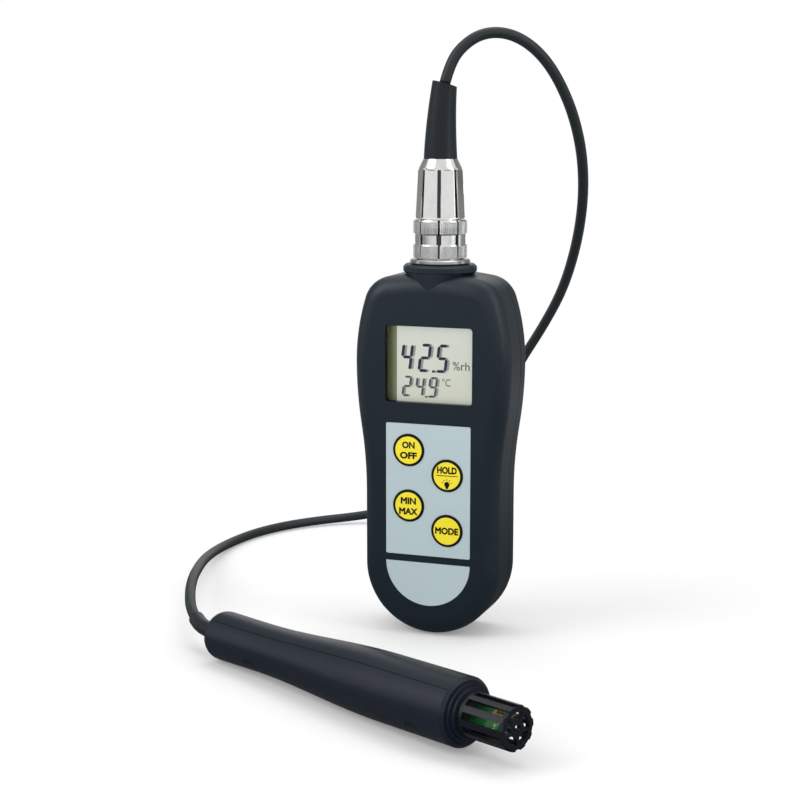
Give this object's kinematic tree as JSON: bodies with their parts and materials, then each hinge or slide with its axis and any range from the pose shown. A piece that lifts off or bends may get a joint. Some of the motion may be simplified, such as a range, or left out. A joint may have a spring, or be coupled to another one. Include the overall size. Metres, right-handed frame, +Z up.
{
  "type": "thermo-hygrometer",
  "caption": "Upright handheld humidity and temperature meter with display and keypad, screw-coupled plug and cord, and a tapered probe with a slotted sensor guard.",
  "frame": {"origin": "on the floor, under the middle of the box round the meter and the probe, cord and plug left out", "axes": "+Z up, +Y the way the meter's back faces, +X to the right seen from the keypad side"},
  "size_m": [0.1876, 0.2755, 0.2092],
  "materials": {
    "case_black": "fine matt moulding",
    "handle_black": "fine matt moulding",
    "guard_black": "satin moulding",
    "rubber_black": "smooth",
    "cord_black": "smooth satin",
    "chrome": "satin plated",
    "steel": "zinc plated",
    "brass": "bright",
    "spring_steel": "nickel plated",
    "panel_grey": "printed film",
    "key_yellow": "printed film over black rubber",
    "window_clear": "clear",
    "lcd": "grey display",
    "inner_white": "milky",
    "inner_black": "plain",
    "inner_rubber": "plain",
    "board_green": "solder mask",
    "flex_amber": "film",
    "sensor_white": "plain",
    "bead_amber": "epoxy",
    "cell_jacket": "plain jacket"
  },
  "bodies": {
    "meter": {"front_shell": "case_black", "rear_shell": "case_black", "handle_front": "handle_black", "handle_rear": "handle_black", "screw_plugs": "handle_black", "nose_ring": "handle_black", "tail_sleeve": "rubber_black", "socket_seal": "rubber_black", "cord": "cord_black", "socket_body": "chrome", "socket_nut": "chrome", "case_screws": "steel", "handle_screws": "steel", "cover_insert": "brass", "socket_contacts": "brass", "battery_springs": "spring_steel", "battery_plates": "spring_steel", "keypad_panel": "panel_grey", "name_plate": "panel_grey", "lcd_window": "window_clear", "lcd_glass": "lcd", "light_guide": "inner_white", "lcd_frame": "inner_black", "socket_insert": "inner_black", "sensor_holder": "inner_black", "microcontroller": "inner_black", "tact_switches": "inner_black", "elastomer_strips": "inner_rubber", "main_board": "board_green", "socket_disc": "board_green", "sensor_board": "board_green", "probe_board": "board_green", "socket_flex": "flex_amber", "sensor_leads": "flex_amber", "humidity_sensor": "sensor_white", "temperature_bead": "bead_amber", "cell_1": "cell_jacket", "cell_2": "cell_jacket", "cell_3": "cell_jacket"},
    "battery_cover": {"battery_cover": "case_black", "cover_screw": "steel"},
    "plug": {"plug_shell": "chrome", "plug_insert": "inner_black", "plug_pins": "brass", "plug_sleeve": "chrome", "clamp_cone": "chrome", "boot": "rubber_black"},
    "coupling_ring": {"coupling_ring": "chrome"},
    "sensor_guard": {"sensor_guard": "guard_black"},
    "key_on_off": {"key_on_off": "key_yellow"},
    "key_hold": {"key_hold": "key_yellow"},
    "key_min_max": {"key_min_max": "key_yellow"},
    "key_mode": {"key_mode": "key_yellow"}
  },
  "joints": [
    {"name": "key_on_off_press", "type": "slide", "parent": "meter", "child": "key_on_off", "axis": [0, 1, 0], "range_m": [0, 0.0004], "stiffness_N_per_m": 2500},
    {"name": "key_hold_press", "type": "slide", "parent": "meter", "child": "key_hold", "axis": [0, 1, 0], "range_m": [0, 0.0004], "stiffness_N_per_m": 2500},
    {"name": "key_min_max_press", "type": "slide", "parent": "meter", "child": "key_min_max", "axis": [0, 1, 0], "range_m": [0, 0.0004], "stiffness_N_per_m": 2500},
    {"name": "key_mode_press", "type": "slide", "parent": "meter", "child": "key_mode", "axis": [0, 1, 0], "range_m": [0, 0.0004], "stiffness_N_per_m": 2500},
    {"name": "cover_hinge", "type": "hinge", "parent": "meter", "child": "battery_cover", "pos_m": [-0.0035, 0.07052, 0.016], "axis": [-1, 0, 0], "range_deg": [0, 50]},
    {"name": "plug_lift", "type": "slide", "parent": "meter", "child": "plug", "axis": [0, 0, 1], "range_m": [0, 0.003], "deforming": ["cord"]},
    {"name": "ring_turn", "type": "hinge", "parent": "plug", "child": "coupling_ring", "pos_m": [-0.0035, 0.05802, 0.138], "axis": [0, 0, 1], "range_deg": [0, 1080]},
    {"name": "guard_pull", "type": "slide", "parent": "meter", "child": "sensor_guard", "axis": [0.8842, -0.4662, 0.0286], "range_m": [0, 0.024]}
  ],
  "couplings": [
    {"joint": "ring_turn", "follows": "plug_lift", "rad_per_m": 6283.1}
  ]
}
